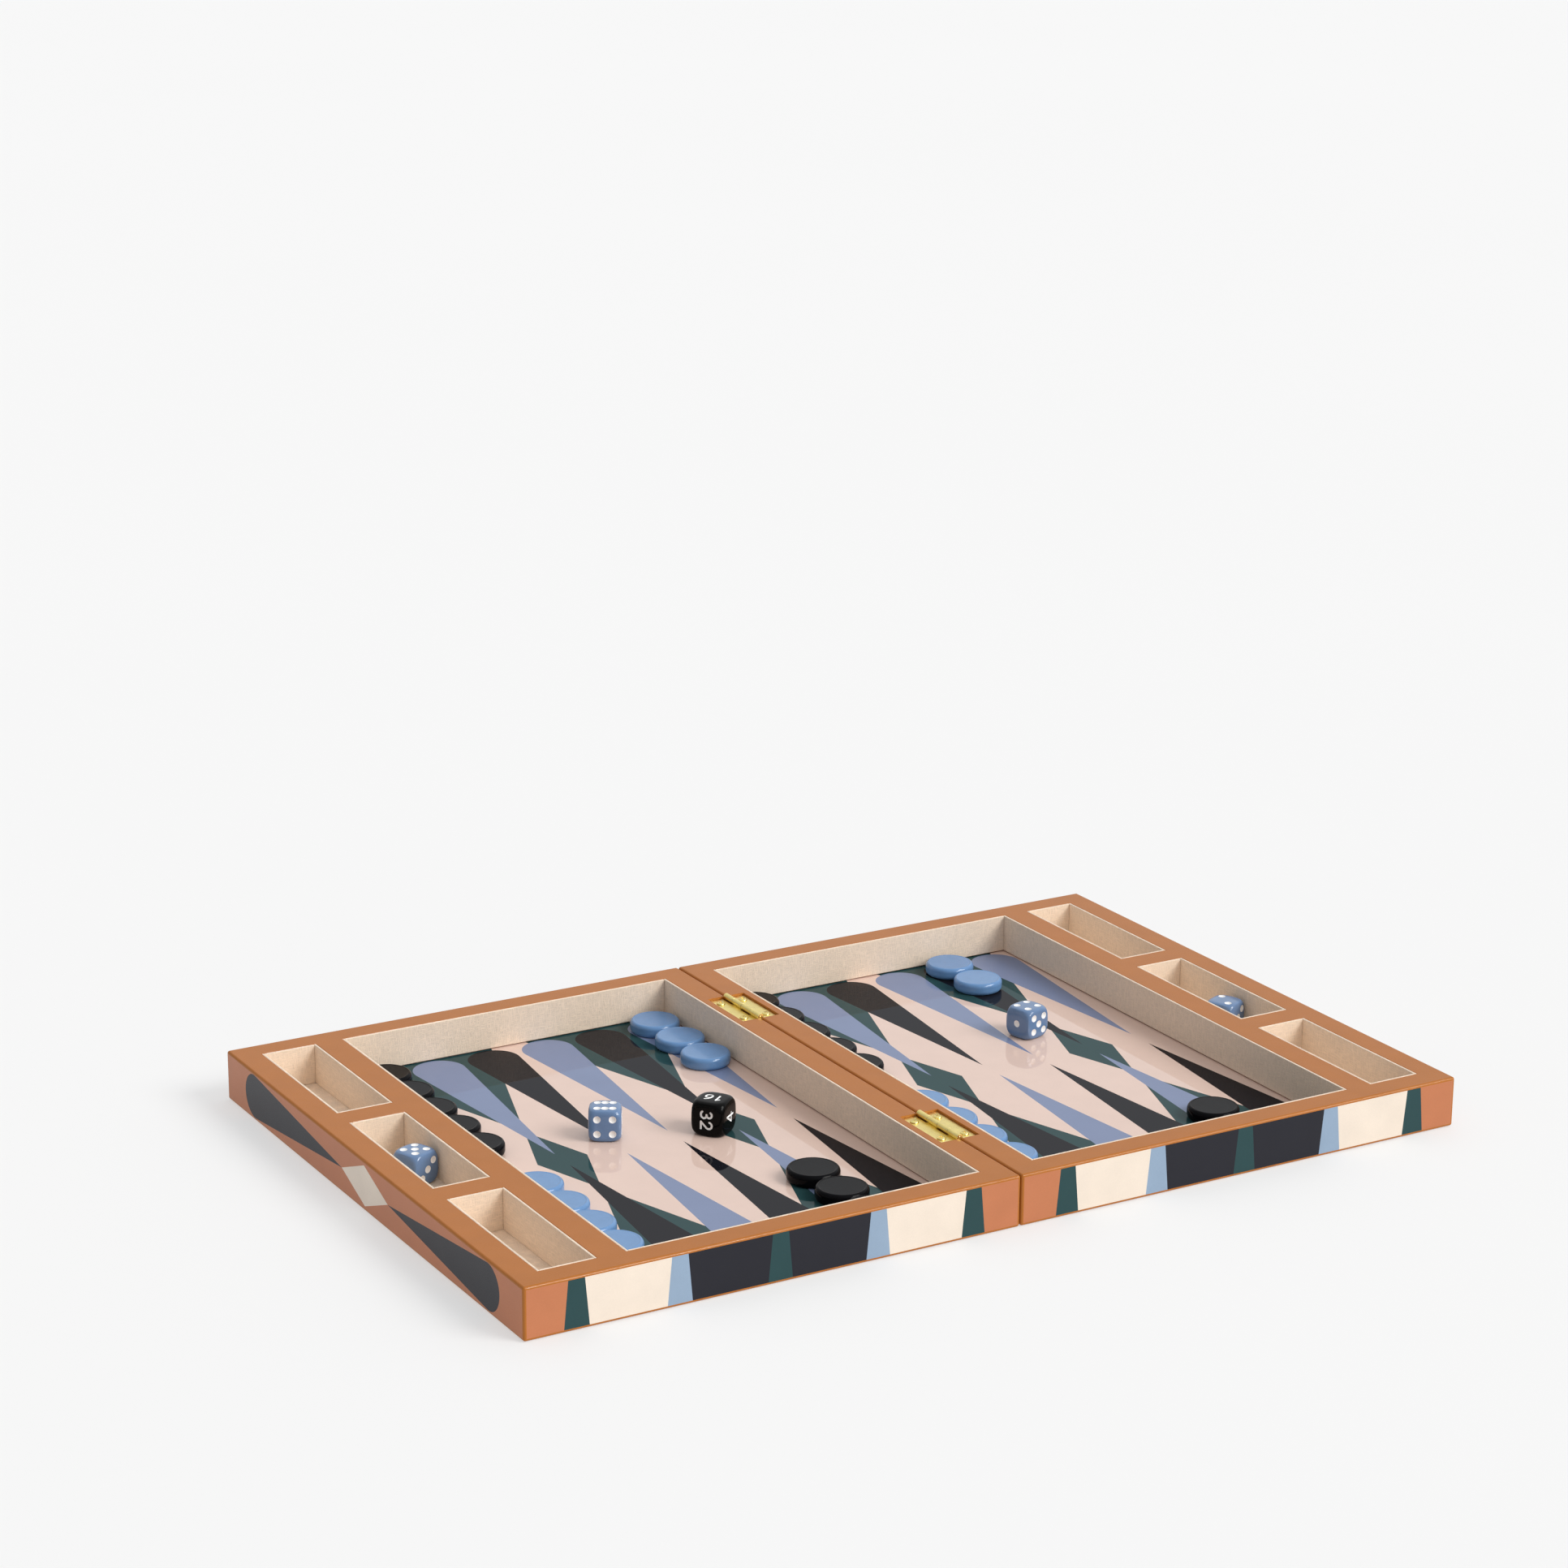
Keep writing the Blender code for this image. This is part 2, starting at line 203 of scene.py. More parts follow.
def lacquered(name, colour, coat_roughness, wave, mottle=0.03, coat=0.42, under=0.1):
    """Colour under a thick clear lacquer: faint mottling, fine pores and slow waves in the surface."""
    look = Look(name)
    cloud = look.noise(0.014, 3.0)
    pores = look.noise(0.0006, 2.0)
    tint = look.mix(look.spread(cloud, 0, 1), times(colour, 1 - mottle), times(colour, 1 + mottle))
    tint = look.mix(look.spread(pores, 0.0, 0.10), tint, times(colour, 0.7))
    flow = look.relief(look.noise(0.011, 1.0), wave)
    skin = look.relief(look.noise(0.0012, 1.0), wave * 0.02, flow)
    return look.finish(
        Base_Color=tint,
        Roughness=look.spread(pores, 0.34, 0.46),
        Normal=skin,
        Coat_Weight=coat,
        Coat_Roughness=coat_roughness,
        Coat_IOR=1.42,
        Coat_Normal=flow,
        IOR=1.3,
        Specular_IOR_Level=under,
    )


def lining_felt():
    """Pressed cream cloth: short crossing threads, darker between them, with a light nap."""
    look = Look("cream_lining_cloth")
    base = (0.93, 0.76, 0.60)
    level = look.noise((0.0035, 0.0035, 0.00028), 3.0)
    upright = look.noise((0.0003, 0.0003, 0.0032), 3.0)
    threads = look.math("MAXIMUM", level, upright)
    cloud = look.noise(0.012, 2.0)
    tint = look.mix(look.spread(threads, 0, 1, 0.42, 0.66), times(base, 0.84), times(base, 1.05))
    tint = look.mix(look.spread(cloud, 0.0, 0.10), tint, times(base, 0.88))
    fuzz = look.noise(0.00012, 2.0)
    weave = look.relief(threads, 0.00022)
    return look.finish(
        Base_Color=tint,
        Roughness=look.spread(fuzz, 0.86, 1.0),
        Normal=look.relief(fuzz, 0.00006, weave),
        Sheen_Weight=0.25,
        Sheen_Roughness=0.5,
        Specular_IOR_Level=0.2,
    )


def brass(name, roughness):
    """Polished brass with hairline polishing marks along the hinge and faint tarnish."""
    look = Look(name)
    base = (0.98, 0.80, 0.30)
    hair = look.noise((0.00022, 0.006, 0.00022), 2.0)
    cloud = look.noise(0.004, 3.0)
    tint = look.mix(look.spread(cloud, 0, 1), times(base, 0.90), times(base, 1.04))
    hairs = look.spread(hair, roughness, roughness + 0.10)
    rough = look.math("ADD", hairs, look.spread(cloud, 0.0, 0.06))
    return look.finish(
        Base_Color=tint, Roughness=rough, Metallic=1.0, Normal=look.relief(hair, 0.00001)
    )


def resin(name, colour, roughness, mottle, coat=0.0, ior=1.4, level=0.5):
    """Cast, tumbled and polished resin: soft clouds in the colour, a faintly uneven gloss."""
    look = Look(name)
    cloud = look.noise(0.006, 3.0, 0.6)
    speck = look.noise(0.0007, 2.0)
    tint = look.mix(look.spread(cloud, 0, 1), times(colour, 1 - mottle), times(colour, 1 + mottle))
    tint = look.mix(look.spread(speck, 0.0, 0.12), tint, times(colour, 0.8))
    polish = look.relief(look.noise(0.0028, 1.0), 0.00002)
    return look.finish(
        Base_Color=tint,
        Roughness=look.spread(speck, roughness * 0.85, roughness * 1.2),
        Normal=polish,
        Coat_Weight=coat,
        Coat_Roughness=0.06,
        IOR=ior,
        Specular_IOR_Level=level,
    )


def white_paint():
    """White enamel wiped into the recesses, a little uneven."""
    look = Look("white_enamel")
    streak = look.noise(0.0006, 3.0)
    return look.finish(
        Base_Color=look.mix(look.spread(streak, 0, 1), (0.88, 0.88, 0.88), (0.96, 0.96, 0.95)),
        Roughness=look.spread(streak, 0.3, 0.45),
        Normal=look.relief(streak, 0.00003),
    )


LACQUER_ORANGE = (0.44, 0.150, 0.025)
TERRACOTTA = (0.52, 0.19, 0.088)
CREAM = (0.82, 0.71, 0.60)
WALL_BLUE = (0.28, 0.375, 0.50)
WALL_GREEN = (0.022, 0.062, 0.066)
WALL_BLACK = (0.018, 0.018, 0.025)
FIELD_PINK = (0.76, 0.57, 0.49)
FIELD_BLUE = (0.20, 0.25, 0.40)
FIELD_GREEN = (0.022, 0.062, 0.066)
FIELD_BLACK = (0.010, 0.010, 0.014)


def wall_look(name, colour):
    return lacquered(name, colour, 0.10, 0.00006, coat=0.4)


def field_look(name, colour, coat):
    return lacquered(name, colour, 0.010, 0.000008, mottle=0.02, coat=coat, under=0.0)


# Each print's looks by name, the unprinted margin's first
WALL_LOOKS = {
    "lacquer": lacquered("tan_lacquer", LACQUER_ORANGE, 0.04, 0.00010),
    "terracotta": wall_look("terracotta_print", TERRACOTTA),
    "cream": wall_look("cream_print", CREAM),
    "blue": wall_look("blue_print", WALL_BLUE),
    "green": wall_look("green_print", WALL_GREEN),
    "black": wall_look("black_print", WALL_BLACK),
}
FIELD_LOOKS = {
    "pink": field_look("pink_field", FIELD_PINK, 1.0),
    "blue": field_look("blue_field", FIELD_BLUE, 0.75),
    "green": field_look("green_field", FIELD_GREEN, 0.45),
    "black": field_look("black_field", FIELD_BLACK, 0.4),
}
CLOTH = lining_felt()
LEAF_BRASS = brass("satin_brass", 0.24)
BRASS = brass("bright_brass", 0.12)
BLUE_CHECKER = resin("blue_checker_resin", (0.135, 0.28, 0.53), 0.18, 0.04, coat=0.2)
BLACK_CHECKER = resin("black_checker_resin", (0.004, 0.004, 0.005), 0.08, 0.25, ior=1.3, level=0.14)
BLUE_DIE = resin("blue_die_resin", (0.135, 0.23, 0.41), 0.12, 0.05, coat=0.3)
BLACK_CUBE = resin("black_cube_resin", (0.003, 0.003, 0.003), 0.04, 0.25, ior=1.3, level=0.2)
WHITE = white_paint()


# Mesh tools


def shade(mesh, angle):
    """Smooth shading across edges up to an angle in degrees, and sharp edges above it."""
    mesh.shade_smooth()
    mesh.set_sharp_from_angle(angle=math.radians(angle))


def to_object(name, bm, materials, smooth=35):
    """A linked object from a bmesh, shaded smooth up to the given angle."""
    mesh = bpy.data.meshes.new(name)
    bm.to_mesh(mesh)
    bm.free()
    for material in materials:
        mesh.materials.append(material)
    shade(mesh, smooth)
    obj = bpy.data.objects.new(name, mesh)
    bpy.context.scene.collection.objects.link(obj)
    return obj


def weigh_normals(obj):
    """Shading that follows the large faces, so that rounded edges don't bend it."""
    modifier = obj.modifiers.new("even_shading", "WEIGHTED_NORMAL")
    modifier.keep_sharp = True
    modifier.weight = 100


def add_block(bm, low, high, radius=0.0, segments=2):
    """Adds a box between two corners, its edges rounded."""
    low, high = Vector(low), Vector(high)
    made = bmesh.ops.create_cube(bm, size=1.0)["verts"]
    place = Matrix.Translation((low + high) / 2) @ Matrix.Diagonal((*(high - low), 1.0))
    bmesh.ops.transform(bm, matrix=place, verts=made)
    if radius:
        edges = list({edge for vert in made for edge in vert.link_edges})
        bmesh.ops.bevel(
            bm, geom=edges, offset=radius, segments=segments, profile=0.5, affect="EDGES"
        )


def block(low, high, radius=0.0, segments=2):
    bm = bmesh.new()
    add_block(bm, low, high, radius, segments)
    return bm


def span(side, near, far, y, z):
    """The corners of a box on one side of the hinge line, from near to far, over y and z."""
    xs = sorted((side * near, side * far))
    return (xs[0], y[0], z[0]), (xs[1], y[1], z[1])


def aim(direction):
    """The turn that takes +Z to a direction."""
    return Vector((0, 0, 1)).rotation_difference(direction).to_matrix().to_4x4()


def rod(radius, start, end, segments):
    """A closed cylinder between two points."""
    start, end = Vector(start), Vector(end)
    bm = bmesh.new()
    bmesh.ops.create_cone(
        bm, cap_ends=True, segments=segments, radius1=radius, radius2=radius,
        depth=(end - start).length,
    )
    place = Matrix.Translation((start + end) / 2) @ aim(end - start)
    bmesh.ops.transform(bm, matrix=place, verts=bm.verts)
    return bm


def turned(profile, segments):
    """A solid turned about Z from (radius, height) points, down its outer side from axis to axis."""
    bm = bmesh.new()
    points = [bm.verts.new((radius, 0, height)) for radius, height in profile]
    edges = [bm.edges.new(pair) for pair in zip(points, points[1:])]
    bmesh.ops.spin(
        bm, geom=points + edges, cent=(0, 0, 0), axis=(0, 0, 1), angle=2 * math.pi,
        steps=segments, use_merge=True,
    )
    bmesh.ops.remove_doubles(bm, verts=bm.verts, dist=1e-7)
    bmesh.ops.recalc_face_normals(bm, faces=bm.faces)
    return bm


def combine(obj, operation, tools, material=None):
    """Cuts the bmeshes from the object, or joins them to it. Cut faces can take a material."""
    kept = bpy.data.collections.new("tools")
    bpy.context.scene.collection.children.link(kept)
    for n, bm in enumerate(tools):
        mesh = bpy.data.meshes.new(f"tool_{n}")
        bm.to_mesh(mesh)
        bm.free()
        if material:
            mesh.materials.append(material)
        kept.objects.link(bpy.data.objects.new(f"tool_{n}", mesh))
    modifier = obj.modifiers.new("combine", "BOOLEAN")
    modifier.operation = operation
    modifier.solver = "EXACT"
    modifier.operand_type = "COLLECTION"
    modifier.material_mode = "TRANSFER" if material else "INDEX"
    modifier.collection = kept
    settled = obj.evaluated_get(bpy.context.evaluated_depsgraph_get())
    result = bpy.data.meshes.new_from_object(settled)
    obj.modifiers.clear()
    obj.data = result
    for tool in list(kept.objects):
        bpy.data.objects.remove(tool)
    bpy.data.collections.remove(kept)


def soften_edges(obj, width, segments=2, angle=50):
    """Rounds the edges that turn by more than an angle in degrees."""
    modifier = obj.modifiers.new("softened_edges", "BEVEL")
    modifier.width = width
    modifier.segments = segments
    modifier.limit_method = "ANGLE"
    modifier.angle_limit = math.radians(angle)


def stand_in(obj, node):
    """The finished piece takes the CAD node's place and moves with its body."""
    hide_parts(node)
    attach(obj, nodes[node]["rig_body"])
    return obj


# Printed patterns, as (look, outline) pairs painted in order over a ground


def clipped(outline, low, high):
    """The part of a flat outline that lies in a rectangle."""
    for axis, limit, sign in ((0, low[0], 1), (0, high[0], -1), (1, low[1], 1), (1, high[1], -1)):
        kept = []
        for a, b in zip(outline, outline[1:] + outline[:1]):
            depth_a, depth_b = sign * (a[axis] - limit), sign * (b[axis] - limit)
            if depth_a >= 0:
                kept.append(a)
            if depth_a * depth_b < 0:
                share = depth_a / (depth_a - depth_b)
                kept.append((a[0] + share * (b[0] - a[0]), a[1] + share * (b[1] - a[1])))
        outline = kept
    return outline


def anticlockwise(outline):
    """The outline in the direction that the triangulation fills."""
    pairs = zip(outline, outline[1:] + outline[:1])
    area = sum(a[0] * b[1] - a[1] * b[0] for a, b in pairs)
    return outline if area > 0 else outline[::-1]


def paint(bm, low, high, ground, shapes, place, looks):
    """Fills a rectangle with flat shapes, each over those before it. place maps (u, v) to space.

    A thin margin along the rectangle's edges keeps the first look.
    """
    inner_low = (low[0] + PRINT_MARGIN, low[1] + PRINT_MARGIN)
    inner_high = (high[0] - PRINT_MARGIN, high[1] - PRINT_MARGIN)
    whole = [low, (high[0], low[1]), high, (low[0], high[1])]
    painted = [(looks[0], whole), (ground, clipped(whole, inner_low, inner_high))]
    painted += [(look, clipped(outline, inner_low, inner_high)) for look, outline in shapes]
    points, rings = [], []
    for _, outline in painted:
        outline = anticlockwise(outline)
        rings.append(list(range(len(points), len(points) + len(outline))))
        points += [Vector(point) for point in outline]
    spots, _, faces, _, _, sources = delaunay_2d_cdt(points, [], rings, 4, 1e-6, True)
    corners = [bm.verts.new(place(spot)) for spot in spots]
    for face, source in zip(faces, sources):
        made = bm.faces.new([corners[i] for i in face])
        made.material_index = looks.index(painted[max(source)][0])


def rectangle(u_low, v_low, u_high, v_high):
    return [(u_low, v_low), (u_high, v_low), (u_high, v_high), (u_low, v_high)]


def drop(tip, centre, radius, points=40):
    """A round-ended point: the hull of a circle and a tip."""
    tip, centre = Vector(tip), Vector(centre)
    along = (tip - centre).normalized()
    across = Vector((-along.y, along.x))
    open_angle = math.acos(radius / (tip - centre).length)
    outline = [tuple(tip)]
    for i in range(points + 1):
        angle = open_angle + (2 * math.pi - 2 * open_angle) * i / points
        spot = centre + radius * (math.cos(angle) * along + math.sin(angle) * across)
        outline.append(tuple(spot))
    return outline


BAND_PITCH = 0.1995 * UNIT
BAND_TOP = 0.0155 * UNIT  # half a narrow band's width at the rim
BAND_BOTTOM = 0.0250 * UNIT  # and at the table


def band(middle, half, v, far_half, far_v):
    """A narrow band round a middle line, from one half-width and height to another."""
    return [
        (middle - half, v), (middle + half, v),
        (middle + far_half, far_v), (middle - far_half, far_v),
    ]


def band_grounds(v_low, v_high):
    """The wide fields between the narrow bands' middles."""
    rows = zip(("cream", "black", "black", "cream"), (-2, -1, 0, 1))
    return [
        (look, rectangle(k * BAND_PITCH, v_low, (k + 1) * BAND_PITCH, v_high)) for look, k in rows
    ]


def long_wall_print(odd, even):
    """Front and back walls, u from the half's middle and v up: five bands in two looks by turns."""
    shapes = band_grounds(0, RIM)
    for k in range(-2, 3):
        look = odd if k % 2 else even
        shapes.append((look, band(k * BAND_PITCH, BAND_BOTTOM, 0, BAND_TOP, RIM)))
    return shapes


def end_wall_print():
    """The outer ends: two dark drops and a cream diamond, u from the middle, v up."""
    middle = RIM / 2
    radius, round_at, tip_at = 0.0442 * UNIT, 0.5065 * UNIT, 0.100 * UNIT
    diamond_half, diamond_rise = 0.100 * UNIT, 0.040 * UNIT
    shapes = [
        ("black", drop((sign * tip_at, middle), (sign * round_at, middle), radius))
        for sign in (-1, 1)
    ]
    diamond = [
        (-diamond_half, middle), (0, middle - diamond_rise),
        (diamond_half, middle), (0, middle + diamond_rise),
    ]
    return shapes + [("cream", diamond)]


def underside_print():
    """The outside of a closed half: the walls' bands widen to the mid line, where they meet."""
    shapes = band_grounds(-HALF_LENGTH, HALF_LENGTH)
    for k in range(-2, 3):
        for sign in (-1, 1):
            look = "blue" if (k % 2 == 0) == (sign > 0) else "green"
            edge = sign * HALF_LENGTH
            shapes.append((look, band(k * BAND_PITCH, BAND_PITCH / 2, 0, BAND_BOTTOM, edge)))
    return shapes


def field_print(side):
    """Twelve points on one half's board, with green bands crossing behind two of the columns."""
    start = -WELL_FAR if side == LEFT else WELL_NEAR
    radius, round_inset, tip_at = 0.053 * UNIT, 0.060 * UNIT, 0.030 * UNIT
    wall_spread, diamond_half = 0.143 * UNIT, 0.052 * UNIT
    crossing = WELL_END * diamond_half / (diamond_half + wall_spread)
    middles = [start + (column + 0.5) * COLUMN_PITCH for column in range(COLUMNS)]
    shapes = []
    for x in (middles[1], middles[4]):
        diamond = [(x - diamond_half, 0), (x, -crossing), (x + diamond_half, 0), (x, crossing)]
        shapes.append(("green", diamond))
        for sign in (-1, 1):
            wall = sign * WELL_END
            shapes.append(
                ("green", [(x, sign * crossing), (x + wall_spread, wall), (x - wall_spread, wall)])
            )
    for column, x in enumerate(middles):
        for sign in (-1, 1):
            look = "black" if (column % 2 == 0) == (sign > 0) else "blue"
            shapes.append(
                (look, drop((x, sign * tip_at), (x, sign * (WELL_END - round_inset)), radius))
            )
    return shapes


# The case


def flat_face(bm, normal):
    """The largest face that looks along the normal."""
    facing = [face for face in bm.faces if face.normal.dot(Vector(normal)) > 0.999]
    return max(facing, key=lambda face: face.calc_area())


def repaint(bm, normal, across, up, ground, shapes, looks):
    """Replaces the flat face along the normal with a print. across and up are its u and v in space."""
    across, up = Vector(across), Vector(up)
    face = flat_face(bm, normal)
    middle = Vector((math.copysign(HALF_WIDTH + SEAM, face.calc_center_median().x) / 2, 0, 0))
    height = face.verts[0].co.dot(Vector(normal))
    us = [(vert.co - middle).dot(across) for vert in face.verts]
    vs = [(vert.co - middle).dot(up) for vert in face.verts]
    base = middle - middle.dot(Vector(normal)) * Vector(normal) + height * Vector(normal)
    bmesh.ops.delete(bm, geom=[face], context="FACES_ONLY")
    paint(
        bm, (min(us), min(vs)), (max(us), max(vs)), ground, shapes,
        lambda spot: base + spot.x * across + spot.y * up, looks,
    )
    bmesh.ops.remove_doubles(bm, verts=bm.verts, dist=1e-6)


def screw_middles(where, label):
    boxes = [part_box(f"{where}_hinge_{label}_screw_{n}") for n in (1, 2)]
    return [(low + high) / 2 for low, high in boxes]


def screw_hole(middle, low, high):
    """A cutter for one screw's hole, between two heights."""
    return rod(SCREW_HOLE_RADIUS, (middle.x, middle.y, low), (middle.x, middle.y, high), 24)


def hinge_recesses(label, side):
    """Recesses and pilot holes for both of a half's leaves."""
    above = RIM + 2 * OVERRUN
    cuts = []
    for where in ("front", "back"):
        low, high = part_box(f"{where}_hinge_{label}_leaf")
        reach = max(abs(low.x), abs(high.x)) + GAP
        ys = (low.y - GAP, high.y + GAP)
        cuts.append(block(*span(side, -3 * OVERRUN, reach, ys, (low.z - GAP / 3, above))))
        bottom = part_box(f"{where}_hinge_{label}_screw_1")[0].z - GAP
        for middle in screw_middles(where, label):
            cuts.append(screw_hole(middle, bottom, above))
    return cuts


def tray_spans():
    """Where the three trays begin and end along Y."""
    return (
        (-WELL_END, -TRAY_OUTER_START),
        (-TRAY_MIDDLE_HALF, TRAY_MIDDLE_HALF),
        (TRAY_OUTER_START, WELL_END),
    )


def case_openings(side):
    """Cutters for the panel's rebate, the well and the trays."""
    inset = HALF_LENGTH - PANEL_MARGIN
    near, far = SEAM + PANEL_MARGIN, HALF_WIDTH - PANEL_MARGIN
    through = (-OVERRUN, RIM + OVERRUN)
    cuts = [
        block(*span(side, near, far, (-inset, inset), (-OVERRUN, PANEL_TOP + FIT))),
        block(*span(side, WELL_NEAR, WELL_FAR, (-WELL_END, WELL_END), through)),
    ]
    for ys in tray_spans():
        cuts.append(block(*span(side, TRAY_NEAR, TRAY_FAR, ys, through)))
    return cuts


def case_frame(label, side):
    """One half's lacquered frame: printed outside, rounded edges and its openings."""
    bm = block(
        *span(side, SEAM, HALF_WIDTH, (-HALF_LENGTH, HALF_LENGTH), (0, RIM)), EDGE_RADIUS, 5
    )
    up = (0, 0, 1)
    looks = tuple(WALL_LOOKS)
    front, back = long_wall_print("blue", "green"), long_wall_print("green", "blue")
    repaint(bm, (0, -1, 0), (1, 0, 0), up, "terracotta", front, looks)
    repaint(bm, (0, 1, 0), (-1, 0, 0), up, "terracotta", back, looks)
    repaint(bm, (side, 0, 0), (0, side, 0), up, "terracotta", end_wall_print(), looks)
    repaint(bm, (0, 0, -1), (-1, 0, 0), (0, 1, 0), "terracotta", underside_print(), looks)
    obj = to_object(f"{label}_frame_finished", bm, WALL_LOOKS.values())
    combine(obj, "DIFFERENCE", case_openings(side) + hinge_recesses(label, side))
    soften_edges(obj, INNER_EDGE)
    weigh_normals(obj)
    stand_in(obj, f"{label}_frame")


def bottom_panel(label, side):
    """The panel let into the underside, which carries on its print."""
    inset = HALF_LENGTH - PANEL_MARGIN - PANEL_PLAY
    near = SEAM + PANEL_MARGIN + PANEL_PLAY
    far = HALF_WIDTH - PANEL_MARGIN - PANEL_PLAY
    bm = block(*span(side, near, far, (-inset, inset), (0, PANEL_TOP)), 0.0002, 2)
    looks = tuple(WALL_LOOKS)
    repaint(bm, (0, 0, -1), (-1, 0, 0), (0, 1, 0), "terracotta", underside_print(), looks)
    obj = to_object(f"{label}_bottom_panel_finished", bm, WALL_LOOKS.values())
    weigh_normals(obj)
    stand_in(obj, f"{label}_bottom_panel")


def playing_field(label, side):
    """The printed board under its clear coat."""
    looks = tuple(FIELD_LOOKS)
    near, far, end = WELL_NEAR + FIT, WELL_FAR - FIT, WELL_END - FIT
    bm = block(*span(side, near, far, (-end, end), (FIELD_BOTTOM, FIELD_TOP)))
    face = flat_face(bm, (0, 0, 1))
    bmesh.ops.delete(bm, geom=[face], context="FACES_ONLY")
    xs = sorted((side * near, side * far))
    paint(
        bm, (xs[0], -end), (xs[1], end), "pink", field_print(side),
        lambda spot: (spot.x, spot.y, FIELD_TOP), looks,
    )
    bmesh.ops.remove_doubles(bm, verts=bm.verts, dist=1e-6)
    obj = to_object(f"{label}_playing_field_finished", bm, FIELD_LOOKS.values())
    stand_in(obj, f"{label}_playing_field")


def add_strips(bm, side, near, far, ys, z_low):
    """Four cloth-covered strips around an opening, the long pair between the short pair's ends."""
    zs = (z_low, LINING_TOP)
    near, far = near + FIT, far - FIT
    y_low, y_high = ys[0] + FIT, ys[1] - FIT
    deep = LINING_THICKNESS
    for x_range in ((near, near + deep), (far - deep, far)):
        add_block(bm, *span(side, *x_range, (y_low, y_high), zs), LINING_ROUNDING, 3)
    inner_near, inner_far = near + deep + FIT, far - deep - FIT
    for y_range in ((y_low, y_low + deep), (y_high - deep, y_high)):
        add_block(bm, *span(side, inner_near, inner_far, y_range, zs), LINING_ROUNDING, 3)


def linings(label, side):
    """The cloth around one half's well, and around and under its trays."""
    bm = bmesh.new()
    add_strips(bm, side, WELL_NEAR, WELL_FAR, (-WELL_END, WELL_END), LINING_FOOT)
    well = to_object(f"{label}_well_lining_finished", bm, [CLOTH])
    bm = bmesh.new()
    near, far = TRAY_NEAR + FIT, TRAY_FAR - FIT
    for ys in tray_spans():
        floor_ys = (ys[0] + FIT, ys[1] - FIT)
        corners = span(side, near, far, floor_ys, (FIELD_BOTTOM, FIELD_TOP))
        add_block(bm, *corners, TRAY_FLOOR_ROUNDING, 3)
        add_strips(bm, side, TRAY_NEAR, TRAY_FAR, ys, FIELD_TOP + FIT)
    tray = to_object(f"{label}_tray_lining_finished", bm, [CLOTH])
    for obj, node in ((well, f"{label}_well_lining"), (tray, f"{label}_tray_lining")):
        weigh_normals(obj)
        stand_in(obj, node)


# Hinges


def knuckle(side, plate_bottom, reach, ys):
    """A rolled knuckle: the plate's end curled round the pin, back down onto the plate."""
    plate_top = plate_bottom + LEAF_THICKNESS
    meets = math.asin((plate_top - AXIS_Z) / BARREL_RADIUS)
    start = -math.pi / 2 - math.acos(BARREL_RADIUS / (AXIS_Z - plate_bottom))
    stop, points = meets - 2 * math.pi, 44
    outline = [(reach, plate_bottom), (0, plate_bottom)]
    for i in range(points + 1):
        angle = start + (stop - start) * i / points
        outline.append((BARREL_RADIUS * math.cos(angle), AXIS_Z + BARREL_RADIUS * math.sin(angle)))
    outline.append((reach, plate_top))
    bm = bmesh.new()
    face = bm.faces.new([bm.verts.new((side * x, ys[0], z)) for x, z in outline])
    raised = bmesh.ops.extrude_face_region(bm, geom=[face])["geom"]
    verts = [item for item in raised if isinstance(item, bmesh.types.BMVert)]
    bmesh.ops.translate(bm, vec=(0, ys[1] - ys[0], 0), verts=verts)
    bmesh.ops.recalc_face_normals(bm, faces=bm.faces)
    return bm


def leaf_knuckles(side, plate_bottom, reach, y_low, y_high):
    """One leaf's share of the barrel: every other knuckle between the barrel's ends."""
    pitch = (y_high - y_low) / KNUCKLES
    knuckles = []
    for n in range(0 if side == LEFT else 1, KNUCKLES, 2):
        start = y_low + n * pitch + KNUCKLE_GAP / 2
        ys = (start, start + pitch - KNUCKLE_GAP)
        knuckles.append(knuckle(side, plate_bottom, reach, ys))
    return knuckles


def hinge_leaf(where, label, side):
    """A plate with its knuckles, bored for the pin and drilled for the screws."""
    node = f"{where}_hinge_{label}_leaf"
    low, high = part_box(node)
    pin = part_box(f"{where}_hinge_pin")
    y_low, y_high = pin[0].y - PIN_INSET, pin[1].y + PIN_INSET
    bottom, top = low.z, low.z + LEAF_THICKNESS
    reach = max(abs(low.x), abs(high.x))
    clear = BARREL_RADIUS + GAP
    plate = block(*span(side, clear, reach, (y_low, y_high), (bottom, top)))
    obj = to_object(f"{node}_finished", plate, [LEAF_BRASS])
    knuckles = leaf_knuckles(side, bottom, clear + KNUCKLE_TAIL, y_low, y_high)
    combine(obj, "UNION", knuckles)
    bore = rod(PIN_RADIUS + FIT, (0, y_low - OVERRUN, AXIS_Z), (0, y_high + OVERRUN, AXIS_Z), 32)
    holes = [
        screw_hole(middle, bottom - OVERRUN, top + OVERRUN)
        for middle in screw_middles(where, label)
    ]
    combine(obj, "DIFFERENCE", [bore] + holes)
    shade(obj.data, 35)
    soften_edges(obj, 0.0001)
    weigh_normals(obj)
    stand_in(obj, node)


